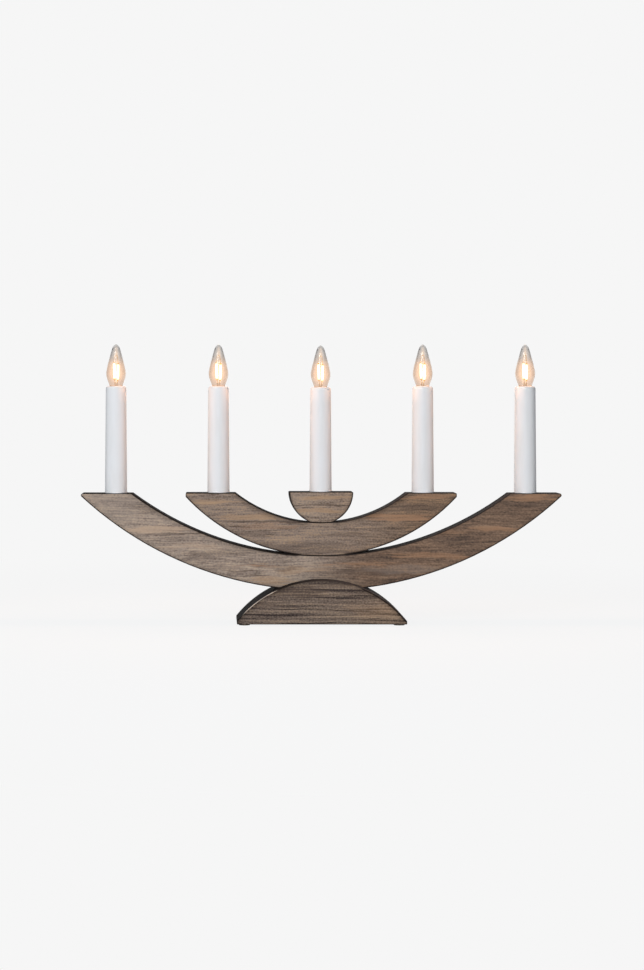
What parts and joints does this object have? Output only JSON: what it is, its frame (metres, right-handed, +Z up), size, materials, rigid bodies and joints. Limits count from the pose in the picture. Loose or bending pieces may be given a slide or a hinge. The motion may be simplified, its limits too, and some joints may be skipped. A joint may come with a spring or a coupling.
{
  "type": "candle arch",
  "caption": "Electric candle arch: nested wooden crescents and a centre cup on a half-disc base, with white candle sleeves and flame-shaped screw lamps.",
  "frame": {"origin": "on the table under the middle of the base, at the underside of the foot pads", "axes": "+X to the viewer's right along the arch, +Y to the rear, +Z up; the front faces -Y"},
  "size_m": [0.4466, 0.05, 0.2599],
  "materials": {
    "base_wood": "grey-brown stained pine, ribbed grain",
    "crescent_wood": "grey-brown stained pine, brushed grain",
    "dowel_wood": "plain beech",
    "pad_felt": "felt",
    "zinc_steel": "zinc plated",
    "lead_sheath": "white sheath",
    "brass": "pressed sheet",
    "sleeve_plastic": "white, glossy",
    "holder_plastic": "white, moulded",
    "clear_glass": "clear",
    "cap_metal": "rolled thread",
    "insulator": "black glass with a soldered button",
    "filament": "coated sticks that glow warm white"
  },
  "bodies": {
    "arch": {"base_block": "base_wood", "large_crescent": "crescent_wood", "small_crescent": "crescent_wood", "centre_cup": "crescent_wood", "foot_pads": "pad_felt", "base_screws": "zinc_steel", "crescent_screws": "zinc_steel", "cup_dowels": "dowel_wood", "supply_leads": "lead_sheath", "link_leads": "lead_sheath", "cup_leads": "lead_sheath", "contact_leaves": "brass", "candle_sleeve_1": "sleeve_plastic", "sleeve_spigot_1": "holder_plastic", "lamp_holder_1": "holder_plastic", "holder_shell_1": "brass", "candle_sleeve_2": "sleeve_plastic", "sleeve_spigot_2": "holder_plastic", "lamp_holder_2": "holder_plastic", "holder_shell_2": "brass", "candle_sleeve_3": "sleeve_plastic", "sleeve_spigot_3": "holder_plastic", "lamp_holder_3": "holder_plastic", "holder_shell_3": "brass", "candle_sleeve_4": "sleeve_plastic", "sleeve_spigot_4": "holder_plastic", "lamp_holder_4": "holder_plastic", "holder_shell_4": "brass", "candle_sleeve_5": "sleeve_plastic", "sleeve_spigot_5": "holder_plastic", "lamp_holder_5": "holder_plastic", "holder_shell_5": "brass"},
    "bulb_1_tip": {"bulb_end_1": "insulator"},
    "bulb_1": {"bulb_glass_1": "clear_glass", "bulb_cap_1": "cap_metal", "bulb_stem_1": "clear_glass", "bulb_filaments_1": "filament"},
    "bulb_2_tip": {"bulb_end_2": "insulator"},
    "bulb_2": {"bulb_glass_2": "clear_glass", "bulb_cap_2": "cap_metal", "bulb_stem_2": "clear_glass", "bulb_filaments_2": "filament"},
    "bulb_3_tip": {"bulb_end_3": "insulator"},
    "bulb_3": {"bulb_glass_3": "clear_glass", "bulb_cap_3": "cap_metal", "bulb_stem_3": "clear_glass", "bulb_filaments_3": "filament"},
    "bulb_4_tip": {"bulb_end_4": "insulator"},
    "bulb_4": {"bulb_glass_4": "clear_glass", "bulb_cap_4": "cap_metal", "bulb_stem_4": "clear_glass", "bulb_filaments_4": "filament"},
    "bulb_5_tip": {"bulb_end_5": "insulator"},
    "bulb_5": {"bulb_glass_5": "clear_glass", "bulb_cap_5": "cap_metal", "bulb_stem_5": "clear_glass", "bulb_filaments_5": "filament"}
  },
  "joints": [
    {"name": "bulb_1_rise", "type": "slide", "parent": "arch", "child": "bulb_1_tip", "axis": [0, 0, 1], "range_m": [0, 0.00726]},
    {"name": "bulb_1_turn", "type": "hinge", "parent": "bulb_1_tip", "child": "bulb_1", "pos_m": [-0.1911, 0, 0.221], "axis": [0, 0, 1], "range_deg": [0, 1440]},
    {"name": "bulb_2_rise", "type": "slide", "parent": "arch", "child": "bulb_2_tip", "axis": [0, 0, 1], "range_m": [0, 0.00726]},
    {"name": "bulb_2_turn", "type": "hinge", "parent": "bulb_2_tip", "child": "bulb_2", "pos_m": [-0.0954, 0, 0.2208], "axis": [0, 0, 1], "range_deg": [0, 1440]},
    {"name": "bulb_3_rise", "type": "slide", "parent": "arch", "child": "bulb_3_tip", "axis": [0, 0, 1], "range_m": [0, 0.00726]},
    {"name": "bulb_3_turn", "type": "hinge", "parent": "bulb_3_tip", "child": "bulb_3", "pos_m": [0, 0, 0.21996], "axis": [0, 0, 1], "range_deg": [0, 1440]},
    {"name": "bulb_4_rise", "type": "slide", "parent": "arch", "child": "bulb_4_tip", "axis": [0, 0, 1], "range_m": [0, 0.00726]},
    {"name": "bulb_4_turn", "type": "hinge", "parent": "bulb_4_tip", "child": "bulb_4", "pos_m": [0.0954, 0, 0.2208], "axis": [0, 0, 1], "range_deg": [0, 1440]},
    {"name": "bulb_5_rise", "type": "slide", "parent": "arch", "child": "bulb_5_tip", "axis": [0, 0, 1], "range_m": [0, 0.00726]},
    {"name": "bulb_5_turn", "type": "hinge", "parent": "bulb_5_tip", "child": "bulb_5", "pos_m": [0.1911, 0, 0.2208], "axis": [0, 0, 1], "range_deg": [0, 1440]}
  ],
  "couplings": [
    {"joint": "bulb_1_rise", "follows": "bulb_1_turn", "m_per_rad": 0.00028871},
    {"joint": "bulb_2_rise", "follows": "bulb_2_turn", "m_per_rad": 0.00028871},
    {"joint": "bulb_3_rise", "follows": "bulb_3_turn", "m_per_rad": 0.00028871},
    {"joint": "bulb_4_rise", "follows": "bulb_4_turn", "m_per_rad": 0.00028871},
    {"joint": "bulb_5_rise", "follows": "bulb_5_turn", "m_per_rad": 0.00028871}
  ]
}
